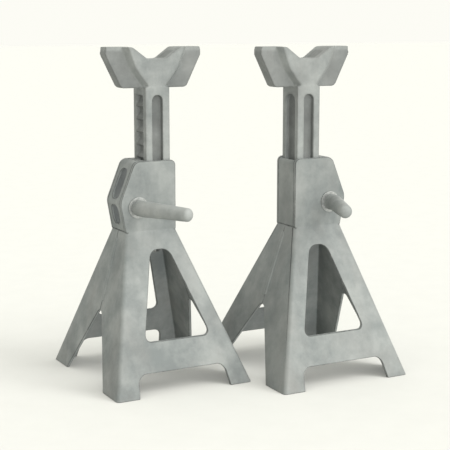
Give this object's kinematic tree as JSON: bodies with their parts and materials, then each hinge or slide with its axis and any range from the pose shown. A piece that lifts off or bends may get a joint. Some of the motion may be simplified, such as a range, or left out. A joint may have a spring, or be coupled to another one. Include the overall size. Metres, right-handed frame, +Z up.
{
  "type": "pair of ratchet axle jack stands",
  "caption": "Pair of ratchet axle stands: pressed A-frame bases, a toothed column with a forked saddle, and a pawl with a side lever to set the height.",
  "frame": {"origin": "on the floor, at the middle of the box round the pair at rest", "axes": "+Z up, +Y from the handle side to the back, +X from the left stand to the right stand"},
  "size_m": [0.326, 0.2471, 0.362],
  "materials": {
    "frame_paint": "satin grey enamel on pressed sheet steel, light edge wear",
    "casting_paint": "satin grey enamel on a sand casting, slightly rough",
    "zinc_plate": "dull zinc plate",
    "oiled_steel": "dark oiled steel"
  },
  "bodies": {
    "left_base": {"left_front_frame": "frame_paint", "left_back_frame": "frame_paint", "left_pawl_cover": "frame_paint", "left_side_plate": "frame_paint", "left_top_guide_block": "frame_paint", "left_lower_guide_block": "frame_paint"},
    "left_column": {"left_ratchet_column": "casting_paint", "left_column_stop_plate": "zinc_plate", "left_stop_plate_screw": "zinc_plate"},
    "left_lever": {"left_lever": "casting_paint", "left_pawl": "oiled_steel", "left_pawl_roll_pin": "zinc_plate", "left_lever_washer": "zinc_plate", "left_end_washer": "zinc_plate", "left_split_pin": "zinc_plate"},
    "right_base": {"right_front_frame": "frame_paint", "right_back_frame": "frame_paint", "right_pawl_cover": "frame_paint", "right_side_plate": "frame_paint", "right_top_guide_block": "frame_paint", "right_lower_guide_block": "frame_paint"},
    "right_column": {"right_ratchet_column": "casting_paint", "right_column_stop_plate": "zinc_plate", "right_stop_plate_screw": "zinc_plate"},
    "right_lever": {"right_lever": "casting_paint", "right_pawl": "oiled_steel", "right_pawl_roll_pin": "zinc_plate", "right_lever_washer": "zinc_plate", "right_end_washer": "zinc_plate", "right_split_pin": "zinc_plate"}
  },
  "joints": [
    {"name": "left_column_slide", "type": "slide", "parent": "left_base", "child": "left_column", "axis": [0, 0, 1], "range_m": [-0.07, 0.014]},
    {"name": "left_lever_hinge", "type": "hinge", "parent": "left_base", "child": "left_lever", "pos_m": [-0.104, 0.02955, 0.19], "axis": [0, -1, 0], "range_deg": [0, 35]},
    {"name": "right_column_slide", "type": "slide", "parent": "right_base", "child": "right_column", "axis": [0, 0, 1], "range_m": [-0.07, 0.014]},
    {"name": "right_lever_hinge", "type": "hinge", "parent": "right_base", "child": "right_lever", "pos_m": [0.104, -0.02845, 0.19], "axis": [0, 1, 0], "range_deg": [0, 35]},
    {"name": "right_stand_apart", "type": "slide", "parent": "left_base", "child": "right_base", "axis": [1, 0, 0], "range_m": [0, 0.3]}
  ]
}
